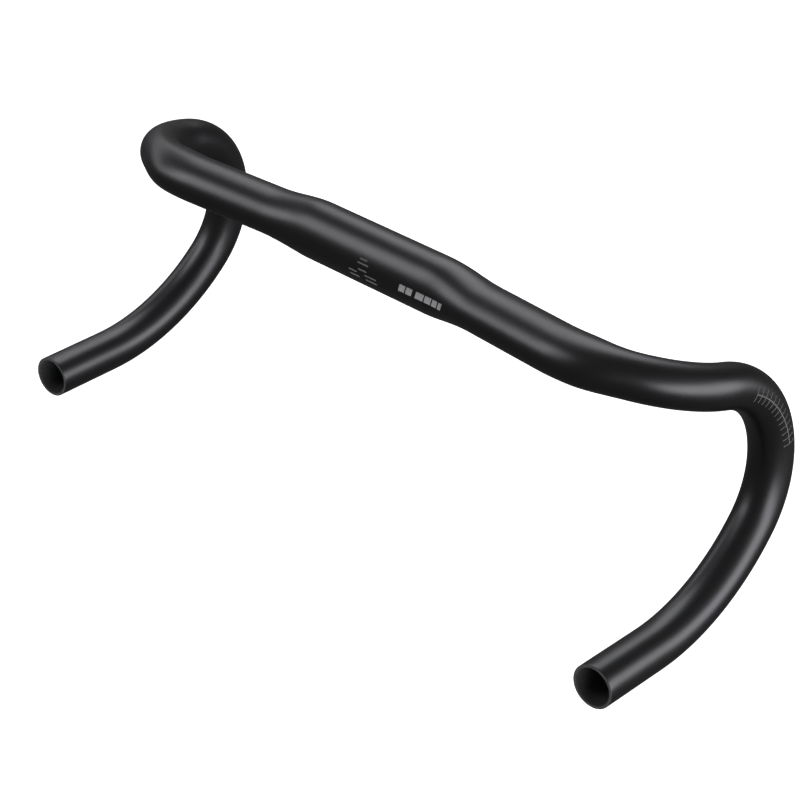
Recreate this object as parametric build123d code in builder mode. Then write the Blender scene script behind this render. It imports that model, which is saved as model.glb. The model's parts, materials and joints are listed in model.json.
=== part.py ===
from build123d import *
import math
import os

# Drop handlebar for a road bicycle: one butted, swaged and bent aluminium tube, and its
# printed marks. Millimetres. Origin: centre of the stem clamp zone, on the tube's axis.
# +X to the rider's right, +Y forwards, +Z up. Only the right half is described: the left
# half is its mirror image.

# ---- tube diameters and walls -----------------------------------------------------------
clamp_diameter = 31.8      # where the stem holds the bar
tube_diameter = 23.8       # corners, hooks and drops, where the levers and the tape go
top_depth = 30.9           # oval tops, front to back
top_height = 23.8          # oval tops, top to bottom
clamp_wall = 2.2           # butted: thick in the clamp zone
tube_wall = 1.6            # thin from the tops to the ends
mouth_chamfer = 0.35       # broken edges of the two open ends

# ---- lengths along the bar --------------------------------------------------------------
hook_centres = 400.0       # width of the bar, between the hooks' widest centres
corner_to_hook = 16.8      # each corner's vertex stands this far inboard of the hook
clamp_half = 40.0          # half of the straight round clamp zone
shoulder_length = 34.0     # taper from the clamp diameter to the oval top
sweep_start = 51.5         # the tops start to sweep back here
oval_end = 16.5            # the oval starts to turn round this far into the corner
oval_run_out = 27.0        # and is round after this much more
drop_straight = 44.0       # straight end of each drop

# ---- bends ------------------------------------------------------------------------------
sweep_back = 7.0           # tops against the X axis, degrees back
sweep_rise = 2.5           # tops against the X axis, degrees up
sweep_radius = 92.0        # easy bend between the clamp zone and the top
corner_radius = 59.5       # bend from the top into the ramp
ramp_out = 5.9             # ramp against straight ahead, degrees outwards
ramp_down = 20.0           # ramp against level, degrees down
hook_flare = 5.5           # lean of the upper hook's plane, degrees
upper_hook = (59.0, 76.2)  # radius and turn of the hook's first bend
middle_hook = (49.5, 41.3)
lower_hook = (111.0, 47.9)
drop_sweep = -1.5          # plane of the two lower bends, degrees outwards

# ---- printed marks ----------------------------------------------------------------------
ink = 0.08                 # thickness of the print
scale_start = 11.8         # first tick of the lever scale, degrees into the upper hook bend
scale_pitch = 4.25         # spacing of the ticks along the tube
scale_ticks = 13
tick_length = 8.0
tick_width = 0.45
scale_line = 0.55          # width of the line that joins the ticks
mark_height = 4.0          # row of slanted blocks behind the clamp zone
mark_level = 1.3           # height of that row's middle above the tube's axis
mark_slant = 14.0          # lean of its blocks, degrees
size_mark_start = 27.8     # X of its first block
size_mark_blocks = [3.9, 3.9]
series_mark_start = 38.8
series_mark_blocks = [5.2, 4.2, 3.2, 2.2]
block_gap = 0.8
data_line = 0.8            # thickness of a data line
data_lines = [             # X of its left end, its length, its height above the tube's axis
    (0.7, 5.0, 6.6),
    (-0.3, 7.2, 4.4),
    (0.5, 5.9, 0.9),
    (-6.1, 5.6, -1.4),
    (4.9, 8.0, -1.4),
    (-5.5, 6.6, -4.0),
    (5.5, 7.6, -4.0),
]

# ---- stations of the modelled surface ---------------------------------------------------
station_pitch = 6.0        # spacing of the cross-sections that the oval part is lofted from
print_standoff = 3.0       # a mark's outline starts this far outside the tube
print_reach = 10.0         # and is pushed in this far, through the tube's wall
scale_reach = 4.0          # the same for the lever scale, short of the tube's own middle

clamp_radius = clamp_diameter / 2
tube_radius = tube_diameter / 2
corner_x = hook_centres / 2 - corner_to_hook


def direction(across, ahead, up):
    return Vector(across, ahead, up).normalized()


def spun(vector, axis, degrees):
    """The vector turned about an axis through the origin."""
    return vector.rotate(Axis((0, 0, 0), axis), degrees)


def turn_between(before, after):
    """Turn axis and angle, in degrees, that bring one heading to the next."""
    return before.cross(after).normalized(), before.get_angle(after)


# ---- centreline of the right half: straight runs and arcs ---------------------------------
class Run:
    """A straight run, or an arc when it has a radius."""

    def __init__(self, start, heading, length, axis=None, radius=0.0):
        self.start = start
        self.heading = heading
        self.length = length
        self.axis = axis
        self.radius = radius

    def centre(self):
        return self.start + self.axis.cross(self.heading) * self.radius

    def at(self, distance):
        """Point and heading, a distance along the run."""
        if self.axis is None:
            return self.start + self.heading * distance, self.heading
        turned = math.degrees(distance / self.radius)
        arm = spun(self.start - self.centre(), self.axis, turned)
        return self.centre() + arm, spun(self.heading, self.axis, turned)

    def end(self):
        return self.at(self.length)


def add_straight(runs, length):
    point, heading = runs[-1].end()
    runs.append(Run(point, heading, length))


def add_bend(runs, axis, radius, degrees):
    point, heading = runs[-1].end()
    runs.append(Run(point, heading, radius * math.radians(degrees), axis, radius))


def tangent_length(radius, degrees):
    """Distance from a bend's vertex to where the bend starts."""
    return radius * math.tan(math.radians(degrees) / 2)


level = math.cos(math.radians(sweep_rise))
along_clamp = direction(1, 0, 0)
along_top = direction(
    math.cos(math.radians(sweep_back)) * level,
    -math.sin(math.radians(sweep_back)) * level,
    math.sin(math.radians(sweep_rise)),
)
along_ramp = direction(
    math.sin(math.radians(ramp_out)) * math.cos(math.radians(ramp_down)),
    math.cos(math.radians(ramp_out)) * math.cos(math.radians(ramp_down)),
    -math.sin(math.radians(ramp_down)),
)
hook_down = direction(math.sin(math.radians(hook_flare)), 0, -math.cos(math.radians(hook_flare)))
drop_back = direction(math.sin(math.radians(drop_sweep)), -math.cos(math.radians(drop_sweep)), 0)

sweep_axis, sweep_angle = turn_between(along_clamp, along_top)
corner_axis, corner_angle = turn_between(along_top, along_ramp)
sweep_tangent = tangent_length(sweep_radius, sweep_angle)
corner_tangent = tangent_length(corner_radius, corner_angle)

centreline = [Run(Vector(0, 0, 0), along_clamp, sweep_start - sweep_tangent)]
add_bend(centreline, sweep_axis, sweep_radius, sweep_angle)
add_straight(centreline, corner_x - sweep_start - sweep_tangent - corner_tangent)
corner_start = sum(run.length for run in centreline)
add_bend(centreline, corner_axis, corner_radius, corner_angle)
hook_start = sum(run.length for run in centreline)
hook_axis = along_ramp.cross(hook_down).normalized()
add_bend(centreline, hook_axis, *upper_hook)
upper_hook_run = centreline[-1]
drop_axis = centreline[-1].end()[1].cross(drop_back).normalized()
add_bend(centreline, drop_axis, *middle_hook)
add_bend(centreline, drop_axis, *lower_hook)
add_straight(centreline, drop_straight)

round_start = corner_start + oval_end + oval_run_out


def centre_at(distance):
    """Point and heading on the centreline, a distance from the middle of the clamp zone."""
    for run in centreline:
        if distance <= run.length:
            return run.at(distance)
        distance -= run.length
    return centreline[-1].end()


def cross_plane(distance):
    """Plane square to the tube: X points forwards, Y upwards, Z along the tube."""
    point, heading = centre_at(distance)
    forwards = Vector(0, 0, 1).cross(heading)
    return Plane(origin=point, x_dir=forwards, z_dir=heading)


def eased(distance, start, length):
    """0 before start, 1 after start + length, with a smooth change between."""
    t = min(max((distance - start) / length, 0.0), 1.0)
    return t * t * (3 - 2 * t)


def section_radii(distance, clamp_offset, tube_offset):
    """Half depth and half height of the section, grown or shrunk by the two offsets."""
    swaged = eased(distance, clamp_half, shoulder_length)
    rounded = eased(distance, corner_start + oval_end, oval_run_out)
    in_clamp = clamp_radius + clamp_offset
    in_tube = tube_radius + tube_offset
    depth = in_clamp + (top_depth / 2 + tube_offset - in_clamp) * swaged
    height = in_clamp + (top_height / 2 + tube_offset - in_clamp) * swaged
    return depth + (in_tube - depth) * rounded, height + (in_tube - height) * rounded


def half_form(clamp_offset, tube_offset):
    """Solid of the right half, from the middle of the clamp zone to the end of the drop."""
    steps = math.ceil((round_start - clamp_half) / station_pitch)
    stations = [clamp_half + (round_start - clamp_half) * i / steps for i in range(steps + 1)]
    with BuildPart() as form:
        with BuildSketch(Plane.YZ):
            Circle(clamp_radius + clamp_offset)
        extrude(amount=clamp_half)
        for station in stations:
            with BuildSketch(cross_plane(station)):
                Ellipse(*section_radii(station, clamp_offset, tube_offset))
        loft()
        with BuildLine() as bends:
            passed = 0.0
            for run in centreline:
                first = max(round_start - passed, 0.0)
                if first < run.length:
                    middle = (first + run.length) / 2
                    if run.axis is None:
                        Line(run.at(first)[0], run.end()[0])
                    else:
                        ThreePointArc(run.at(first)[0], run.at(middle)[0], run.end()[0])
                passed += run.length
        with BuildSketch(cross_plane(round_start)):
            Circle(tube_radius + tube_offset)
        sweep(path=bends.wires()[0])
    return form.part


outside = half_form(0, 0)
bore = half_form(-clamp_wall, -tube_wall)
inked = half_form(ink, ink)

# ---- bar tube: one 31.8 mm tube, swaged down to 23.8 mm, ovalised and bent ---------------
with BuildPart() as bar_tube:
    add(outside)
    add(bore, mode=Mode.SUBTRACT)
    mirror(about=Plane.YZ)
    mouths = faces().filter_by(GeomType.PLANE)
    chamfer(mouths.edges(), length=mouth_chamfer)
bar_tube.part.label = "bar_tube"

# ---- print film: the thin layer over the tube that every mark is cut from ---------------
with BuildPart() as print_film:
    add(inked)
    add(outside, mode=Mode.SUBTRACT)
    mirror(about=Plane.YZ)

thickest = max(clamp_radius, top_depth / 2)
rear_face = Plane(
    origin=(0, -thickest - print_standoff, 0), x_dir=(1, 0, 0), z_dir=(0, -1, 0)
)


def slanted_blocks(start, widths):
    """Solids of a row of slanted blocks, pushed in through the rear of the clamp zone."""
    lean = mark_height * math.tan(math.radians(mark_slant))
    with BuildPart() as blocks:
        left = start
        for width in widths:
            with BuildSketch(rear_face):
                with BuildLine():
                    Polyline(
                        (left, mark_level - mark_height / 2),
                        (left + width, mark_level - mark_height / 2),
                        (left + width + lean, mark_level + mark_height / 2),
                        (left + lean, mark_level + mark_height / 2),
                        close=True,
                    )
                make_face()
            extrude(amount=-print_reach)
            left += width + block_gap
    return blocks.part


# ---- size mark and series mark: two rows of plain slanted blocks --------------------------
with BuildPart() as size_mark:
    add(slanted_blocks(size_mark_start, size_mark_blocks))
    add(print_film.part, mode=Mode.INTERSECT)
size_mark.part.label = "size_mark"

with BuildPart() as series_mark:
    add(slanted_blocks(series_mark_start, series_mark_blocks))
    add(print_film.part, mode=Mode.INTERSECT)
series_mark.part.label = "series_mark"

# ---- data lines: plain bars where the small print stands --------------------------------
with BuildPart() as data_lines_mark:
    for left, length, height in data_lines:
        with BuildSketch(rear_face):
            with Locations((left + length / 2, height)):
                SlotOverall(length, data_line)
        extrude(amount=-print_reach)
    add(print_film.part, mode=Mode.INTERSECT)
data_lines_mark.part.label = "data_lines"

# ---- lever scale: a line along the outside of the hook, with cross ticks -----------------
hook_radius = upper_hook[0]
hook_centre = upper_hook_run.centre()
scale_plane = Plane(
    origin=hook_centre - hook_axis * (tube_radius + print_standoff),
    x_dir=upper_hook_run.start - hook_centre,
    z_dir=hook_axis,
)
scale_turn = math.degrees(scale_pitch * (scale_ticks - 1) / hook_radius)

with BuildPart() as lever_scale_right:
    with BuildSketch(scale_plane):
        with BuildLine():
            CenterArc((0, 0), hook_radius, scale_start, scale_turn)
        trace(line_width=scale_line)
        for tick in range(scale_ticks):
            angle = scale_start + scale_turn * tick / (scale_ticks - 1)
            with PolarLocations(hook_radius, 1, angle):
                Rectangle(tick_length, tick_width)
    extrude(amount=print_standoff + scale_reach)
    add(print_film.part, mode=Mode.INTERSECT)
lever_scale_right.part.label = "lever_scale_right"

with BuildPart() as lever_scale_left:
    add(lever_scale_right.part)
    mirror(about=Plane.YZ, mode=Mode.REPLACE)
lever_scale_left.part.label = "lever_scale_left"

os.makedirs("parts", exist_ok=True)
export_step(bar_tube.part, "parts/bar_tube.step")
export_step(size_mark.part, "parts/size_mark.step")
export_step(series_mark.part, "parts/series_mark.step")
export_step(data_lines_mark.part, "parts/data_lines.step")
export_step(lever_scale_right.part, "parts/lever_scale_right.step")
export_step(lever_scale_left.part, "parts/lever_scale_left.step")
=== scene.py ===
import json
import math

import bmesh
import bpy
from mathutils import Matrix, Vector


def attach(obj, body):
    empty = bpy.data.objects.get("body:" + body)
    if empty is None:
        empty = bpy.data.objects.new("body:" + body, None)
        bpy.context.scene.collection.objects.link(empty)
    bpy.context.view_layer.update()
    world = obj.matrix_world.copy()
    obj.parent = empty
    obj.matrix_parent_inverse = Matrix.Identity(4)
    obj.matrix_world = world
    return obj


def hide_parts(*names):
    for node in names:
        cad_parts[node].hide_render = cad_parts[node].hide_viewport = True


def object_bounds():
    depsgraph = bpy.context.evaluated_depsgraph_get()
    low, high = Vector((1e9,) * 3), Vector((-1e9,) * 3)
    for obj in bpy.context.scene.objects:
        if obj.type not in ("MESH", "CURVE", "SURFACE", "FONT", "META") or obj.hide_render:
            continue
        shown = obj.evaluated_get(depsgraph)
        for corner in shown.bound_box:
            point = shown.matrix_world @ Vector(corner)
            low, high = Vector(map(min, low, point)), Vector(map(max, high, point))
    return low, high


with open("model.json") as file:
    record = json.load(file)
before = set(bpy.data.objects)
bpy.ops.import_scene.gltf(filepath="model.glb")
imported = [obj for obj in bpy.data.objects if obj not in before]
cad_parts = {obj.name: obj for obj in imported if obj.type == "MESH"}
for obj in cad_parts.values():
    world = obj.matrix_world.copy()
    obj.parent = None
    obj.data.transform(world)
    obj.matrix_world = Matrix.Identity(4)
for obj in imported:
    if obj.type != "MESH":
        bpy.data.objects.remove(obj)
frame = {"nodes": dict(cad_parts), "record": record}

cad_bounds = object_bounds()

# ---- Bar tube --------------------------------------------------------------------------------
# One aluminium tube from end to end. It is swaged down from the thick clamp zone, pressed oval
# along the tops, then bent into corners, ramps, hooks and drops, and both ends are left open.
MM = 0.001
mounts = {mount["name"]: mount for mount in frame["record"]["mounts"]}
clamp_radius = mounts["stem_clamp"]["dims"]["r_mm"] * MM
clamp_half = mounts["stem_clamp"]["dims"]["length_mm"] * MM / 2
tube_radius = mounts["lever_right"]["dims"]["r_mm"] * MM
tube_wall = tube_radius - mounts["bar_end_right"]["dims"]["r_mm"] * MM
drop_straight = mounts["bar_end_right"]["dims"]["length_mm"] * MM

hook_centres = 400.0 * MM       # between the hooks' widest centres
corner_to_hook = 16.8 * MM      # each corner's vertex stands this far inboard of the hook
top_half_depth = 15.45 * MM     # oval tops, front to back
top_half_height = 11.9 * MM     # oval tops, top to bottom
shoulder_length = 34.0 * MM     # taper from the clamp zone to the oval top
sweep_start = 51.5 * MM         # the tops sweep back from here
oval_end = 16.5 * MM            # the oval starts to turn round this far into the corner
oval_run_out = 27.0 * MM        # and is round after this much more
sweep_back = 7.0                # degrees that the tops lean back
sweep_rise = 2.5                # and rise
sweep_radius = 92.0 * MM
corner_radius = 59.5 * MM
ramp_out = 5.9                  # degrees that the ramps lean out
ramp_down = 20.0                # and fall
hook_flare = 5.5                # degrees that the hooks lean out
upper_hook = (59.0 * MM, 76.2)  # radius and turn in degrees of the hook's three bends
middle_hook = (49.5 * MM, 41.3)
lower_hook = (111.0 * MM, 47.9)
drop_sweep = -1.5               # plane of the two lower bends, degrees outwards
ring_pitch = 2.5 * MM           # spacing of the rings of the mesh
ring_points = 96
mouth_round = 0.35 * MM         # broken edges of the open ends


def heading_of(out, rise, ahead=1.0):
    """Direction that leans out towards +X and rises, both in degrees; ahead -1 points back."""
    out, rise = math.radians(out), math.radians(rise)
    level = math.cos(rise)
    return Vector((math.sin(out) * level, ahead * math.cos(out) * level, math.sin(rise)))


along_clamp = Vector((1, 0, 0))
along_top = heading_of(90.0 + sweep_back, sweep_rise)
along_ramp = heading_of(ramp_out, -ramp_down)
hook_down = heading_of(90.0, hook_flare - 90.0)
drop_back = heading_of(drop_sweep, 0.0, ahead=-1.0)


class Run:
    """A straight stretch of the tube's centreline, or an arc when it has a radius."""

    def __init__(self, start, heading, length, axis=None, radius=0.0):
        self.start, self.heading, self.length = start, heading, length
        self.axis, self.radius = axis, radius
        if axis:
            self.centre = start + axis.cross(heading) * radius

    def turned(self, distance):
        """Matrix that carries the run's start along the arc."""
        about = Matrix.Translation(self.centre)
        return about @ Matrix.Rotation(distance / self.radius, 4, self.axis) @ about.inverted()

    def at(self, distance):
        """Point and heading, a distance along the run."""
        if not self.axis:
            return self.start + self.heading * distance, self.heading
        place = self.turned(distance)
        return place @ self.start, place.to_3x3() @ self.heading


def straight(length):
    runs.append(Run(*runs[-1].at(runs[-1].length), length))


def bend(axis, radius, degrees):
    runs.append(Run(*runs[-1].at(runs[-1].length), radius * math.radians(degrees), axis, radius))


def corner(before, after, radius):
    """Axis, turn in degrees, and distance from the vertex to the bend's start."""
    turn = before.angle(after)
    return before.cross(after).normalized(), math.degrees(turn), radius * math.tan(turn / 2)


sweep_axis, sweep_turn, sweep_tangent = corner(along_clamp, along_top, sweep_radius)
corner_axis, corner_turn, corner_tangent = corner(along_top, along_ramp, corner_radius)
runs = [Run(Vector((0, 0, 0)), along_clamp, sweep_start - sweep_tangent)]
bend(sweep_axis, sweep_radius, sweep_turn)
straight(hook_centres / 2 - corner_to_hook - sweep_start - sweep_tangent - corner_tangent)
corner_start = sum(run.length for run in runs)
bend(corner_axis, corner_radius, corner_turn)
bend(along_ramp.cross(hook_down).normalized(), *upper_hook)
drop_axis = runs[-1].at(runs[-1].length)[1].cross(drop_back).normalized()
bend(drop_axis, *middle_hook)
bend(drop_axis, *lower_hook)
straight(drop_straight)
round_start = corner_start + oval_end + oval_run_out


def eased(distance, start, length):
    """0 before the start, 1 past the length, and a smooth step between."""
    t = min(max((distance - start) / length, 0.0), 1.0)
    return t * t * (3 - 2 * t)


def section_place(distance):
    """Matrix that carries a unit circle to the tube's section, for the clamp zone and the tops."""
    for run in runs:
        if distance <= run.length:
            break
        distance -= run.length
    point, heading = run.at(distance)
    distance += sum(other.length for other in runs[:runs.index(run)])
    swaged = eased(distance, clamp_half, shoulder_length)
    rounded = eased(distance, corner_start + oval_end, oval_run_out)
    depth = clamp_radius + (top_half_depth - clamp_radius) * swaged
    height = clamp_radius + (top_half_height - clamp_radius) * swaged
    depth += (tube_radius - depth) * rounded
    height += (tube_radius - height) * rounded
    forwards = Vector((0, 0, 1)).cross(heading).normalized()
    upwards = heading.cross(forwards)
    columns = (forwards * depth, upwards * height, heading * depth, point)
    return Matrix([[column[row] for column in columns] for row in range(3)] + [[0, 0, 0, 1]])


def verts_and_edges(geometry):
    """The ring in what an operator returns."""
    verts = [part for part in geometry if isinstance(part, bmesh.types.BMVert)]
    edges = [part for part in geometry if isinstance(part, bmesh.types.BMEdge)]
    return verts + [edge for edge in edges if all(vert in verts for vert in edge.verts)]


def verts_of(ring):
    return [part for part in ring if isinstance(part, bmesh.types.BMVert)]


def grown(mesh, ring):
    """Extrudes a ring of the tube where it stands, and gives the new ring."""
    edges = [part for part in ring if isinstance(part, bmesh.types.BMEdge)]
    return verts_and_edges(bmesh.ops.extrude_edge_only(mesh, edges=edges)["geom"])


def finished(mesh, name, material):
    """Object at the origin, with smooth faces that point outwards."""
    for face in mesh.faces:
        face.smooth = True
    data = bpy.data.meshes.new(name)
    mesh.to_mesh(data)
    mesh.free()
    piece = bpy.data.objects.new(name, data)
    bpy.context.scene.collection.objects.link(piece)
    data.materials.append(material)
    return piece


def srgb(code):
    """Linear colour from an sRGB hex code."""
    levels = [int(code[i:i + 2], 16) / 255 for i in (1, 3, 5)]
    return [c / 12.92 if c <= 0.04045 else ((c + 0.055) / 1.055) ** 2.4 for c in levels] + [1.0]


def add_node(tree, kind, links=None, **settings):
    """Adds a node. Links give the sockets to join, and settings its properties or input values."""
    node = tree.nodes.new(kind)
    for name, value in settings.items():
        if hasattr(node, name):
            setattr(node, name, value)
        else:
            node.inputs[name.replace("_", " ")].default_value = value
    for socket, source in (links or {}).items():
        tree.links.new(source, node.inputs[socket])
    return node


def black_anodised_bore():
    """The tube's inside, dyed in the same bath but not blasted: dull, with the draw marks' grain."""
    material = bpy.data.materials.new("black_anodised_bore")
    material.use_nodes = True
    tree = material.node_tree
    shader = tree.nodes["Principled BSDF"]
    shader.inputs["Roughness"].default_value = 0.7
    place = add_node(tree, "ShaderNodeTexCoord").outputs["Object"]
    grain = add_node(tree, "ShaderNodeTexNoise", {"Vector": place}, Scale=1 / (1.5 * MM), Detail=3.0)
    dye = add_node(tree, "ShaderNodeValToRGB", {"Fac": grain.outputs["Fac"]})
    dye.color_ramp.elements[0].position = 0.3
    dye.color_ramp.elements[0].color = srgb("#3e3e40")
    dye.color_ramp.elements[1].position = 0.7
    dye.color_ramp.elements[1].color = srgb("#4a4a4d")
    tree.links.new(dye.outputs["Color"], shader.inputs["Base Color"])
    return material


def blasted_black_anodised():
    """Aluminium blasted with fine beads and dyed black: a soft sheen, and a faint even grain."""
    material = bpy.data.materials.new("blasted_black_anodised")
    material.use_nodes = True
    tree = material.node_tree
    shader = tree.nodes["Principled BSDF"]
    shader.inputs["Metallic"].default_value = 1.0
    place = add_node(tree, "ShaderNodeTexCoord").outputs["Object"]
    # blasting pits are about 0.1 mm, drawn 0.4 mm wide so that they show
    grain = add_node(tree, "ShaderNodeTexNoise", {"Vector": place}, Scale=1 / (0.4 * MM), Detail=2.0)
    # the dye takes a little unevenly, in clouds about 25 mm wide
    clouds = add_node(tree, "ShaderNodeTexNoise", {"Vector": place}, Scale=1 / (25 * MM), Detail=3.0)
    dye = add_node(tree, "ShaderNodeValToRGB", {"Fac": clouds.outputs["Fac"]})
    dye.color_ramp.elements[0].position = 0.3
    dye.color_ramp.elements[0].color = srgb("#575759")
    dye.color_ramp.elements[1].position = 0.7
    dye.color_ramp.elements[1].color = srgb("#5b5b5e")
    tree.links.new(dye.outputs["Color"], shader.inputs["Base Color"])
    sheen = add_node(tree, "ShaderNodeMapRange", {"Value": grain.outputs["Fac"]}, To_Min=0.34, To_Max=0.40)
    tree.links.new(sheen.outputs["Result"], shader.inputs["Roughness"])
    pits = add_node(
        tree, "ShaderNodeBump", {"Height": grain.outputs["Fac"]}, Strength=0.2, Distance=0.02 * MM,
    )
    tree.links.new(pits.outputs["Normal"], shader.inputs["Normal"])
    return material


tube = bmesh.new()
bmesh.ops.create_circle(tube, cap_ends=False, radius=1.0, segments=ring_points)
bmesh.ops.transform(tube, matrix=section_place(0.0), verts=tube.verts[:])
ring = tube.verts[:] + tube.edges[:]
steps = math.ceil(round_start / ring_pitch)
for step in range(steps):
    ring = grown(tube, ring)
    here = section_place(round_start * step / steps)
    onwards = section_place(round_start * (step + 1) / steps)
    bmesh.ops.transform(tube, matrix=onwards @ here.inverted(), verts=verts_of(ring))

passed = 0.0
for run in runs:
    done = max(round_start - passed, 0.0)
    left = run.length - done
    if left > 0 and run.axis:
        turned = bmesh.ops.spin(
            tube, geom=ring, cent=run.centre, axis=run.axis, angle=left / run.radius,
            steps=math.ceil(left / ring_pitch), use_duplicate=False,
        )
        ring = verts_and_edges(turned["geom_last"])
    elif left > 0:
        steps = math.ceil(left / ring_pitch)
        for step in range(steps):
            ring = grown(tube, ring)
            bmesh.ops.translate(tube, vec=run.heading * left / steps, verts=verts_of(ring))
    passed += run.length

bmesh.ops.mirror(tube, geom=tube.verts[:] + tube.edges[:] + tube.faces[:], axis="X", merge_dist=1e-6)
bmesh.ops.recalc_face_normals(tube, faces=tube.faces[:])
outside = set(tube.faces)
bmesh.ops.solidify(tube, geom=tube.faces[:], thickness=tube_wall)
for face in tube.faces:
    face.material_index = int(face not in outside)
rims = [edge for edge in tube.edges if edge.calc_face_angle(0.0) > math.radians(60)]
bmesh.ops.bevel(
    tube, geom=rims, offset=mouth_round, segments=3, profile=0.5, affect="EDGES", material=-1,
)
bar_skin = finished(tube, "bar_tube_skin", blasted_black_anodised())
bar_skin.data.materials.append(black_anodised_bore())
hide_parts("bar_tube")
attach(bar_skin, "root")

# ---- Printed marks ---------------------------------------------------------------------------
# Ink pad-printed on the finished tube: two rows of slanted blocks and some fine lines behind the
# clamp zone, and a scale of ticks on the outside of each hook for setting the levers.


def pad_ink(name, colour, thin_colour):
    """Matt ink in a thin film: its colour varies a little with its thickness."""
    material = bpy.data.materials.new(name)
    material.use_nodes = True
    tree = material.node_tree
    shader = tree.nodes["Principled BSDF"]
    shader.inputs["Roughness"].default_value = 0.55
    place = add_node(tree, "ShaderNodeTexCoord").outputs["Object"]
    # the pad leaves a mottle about 0.3 mm wide
    mottle = add_node(tree, "ShaderNodeTexNoise", {"Vector": place}, Scale=1 / (0.3 * MM), Detail=2.0)
    film = add_node(tree, "ShaderNodeValToRGB", {"Fac": mottle.outputs["Fac"]})
    film.color_ramp.elements[0].position = 0.35
    film.color_ramp.elements[0].color = srgb(thin_colour)
    film.color_ramp.elements[1].position = 0.6
    film.color_ramp.elements[1].color = srgb(colour)
    tree.links.new(film.outputs["Color"], shader.inputs["Base Color"])
    return material


light_ink = pad_ink("light_grey_pad_ink", "#9c9c9e", "#808082")
faint_ink = pad_ink("faint_grey_pad_ink", "#6e6e70", "#565658")
for node, ink in (
    ("size_mark", light_ink),
    ("series_mark", light_ink),
    ("data_lines", faint_ink),
    ("lever_scale_right", faint_ink),
    ("lever_scale_left", faint_ink),
):
    frame["nodes"][node].data.materials.clear()
    frame["nodes"][node].data.materials.append(ink)

# ---- Camera ----------------------------------------------------------------------------------
# A long lens above and behind the rider's right hand, aimed into the space between the hooks.
camera_azimuth, camera_elevation = math.radians(41.674), math.radians(35.257)
camera_aim = Vector((36.57, -24.20, -59.97)) * MM
camera_distance = 1103.0 * MM
focal_length = 96.31            # mm, on a sensor 36 mm wide

towards_camera = Vector((
    math.sin(camera_azimuth) * math.cos(camera_elevation),
    -math.cos(camera_azimuth) * math.cos(camera_elevation),
    math.sin(camera_elevation),
))
lens = bpy.data.cameras.new("camera")
lens.sensor_width = 36.0
lens.lens = focal_length
camera = bpy.data.objects.new("camera", lens)
camera.location = camera_aim + towards_camera * camera_distance
camera.rotation_euler = (-towards_camera).to_track_quat("-Z", "Y").to_euler()
bpy.context.scene.collection.objects.link(camera)
bpy.context.scene.camera = camera

# ---- Floor and light ---------------------------------------------------------------------------
# A sheet of white acrylic lit from below, well under the bar, so that no shadow shows, and large
# soft boxes round it. The sheet isn't mirrored in the bar, whose underside stays dark.
floor_drop = 500.0 * MM
floor_size = 12.0

floor_mesh = bmesh.new()
bmesh.ops.create_grid(floor_mesh, x_segments=1, y_segments=1, size=floor_size / 2)
bmesh.ops.translate(floor_mesh, vec=(0, 0, cad_bounds[0][2] - floor_drop), verts=floor_mesh.verts[:])


def lit_acrylic():
    """Opal acrylic with lamps behind it: matt, white and evenly bright."""
    material = bpy.data.materials.new("lit_acrylic")
    material.use_nodes = True
    shader = material.node_tree.nodes["Principled BSDF"]
    shader.inputs["Base Color"].default_value = srgb("#fafafa")
    shader.inputs["Roughness"].default_value = 0.9
    shader.inputs["Specular IOR Level"].default_value = 0.0
    shader.inputs["Emission Color"].default_value = srgb("#ffffff")
    shader.inputs["Emission Strength"].default_value = 1.0
    return material


floor = finished(floor_mesh, "floor", lit_acrylic())
floor.visible_glossy = False
bpy.context.scene.view_settings.view_transform = "Standard"


def soft_box(name, azimuth, elevation, distance, width, height, power):
    """Area light that faces the bar. Azimuth 0 is ahead of it and 90 to its right, in degrees."""
    azimuth, elevation = math.radians(azimuth), math.radians(elevation)
    level = math.cos(elevation)
    away = Vector((math.sin(azimuth) * level, math.cos(azimuth) * level, math.sin(elevation)))
    light = bpy.data.lights.new(name, "AREA")
    light.shape = "RECTANGLE"
    light.size, light.size_y = width, height
    light.energy = power
    box = bpy.data.objects.new(name, light)
    box.location = away * distance
    box.rotation_euler = away.to_track_quat("Z", "Y").to_euler()
    bpy.context.scene.collection.objects.link(box)


soft_box("soft_box_right", 80.0, 4.8, 2.2, 3.75, 1.15, 34.5)
soft_box("soft_box_front", -29.9, 42.5, 2.2, 1.6, 1.45, 13.6)
soft_box("soft_box_rear", -134.0, 40.0, 2.2, 0.9, 1.35, 9.0)
soft_box("soft_box_left", -88.0, 19.4, 2.2, 3.25, 0.45, 6.4)

world = bpy.data.worlds.new("studio")
bpy.context.scene.world = world
world.use_nodes = True
sky = world.node_tree
backdrop = sky.nodes["Background"]
backdrop.inputs["Color"].default_value = srgb("#ffffff")
backdrop.inputs["Strength"].default_value = 1.0
dim = add_node(sky, "ShaderNodeBackground", Color=srgb("#ffffff"), Strength=0.08)
seen = add_node(sky, "ShaderNodeLightPath")
mix = add_node(
    sky, "ShaderNodeMixShader",
    {0: seen.outputs["Is Camera Ray"], 1: dim.outputs["Background"], 2: backdrop.outputs["Background"]},
)
sky.links.new(mix.outputs["Shader"], sky.nodes["World Output"].inputs["Surface"])
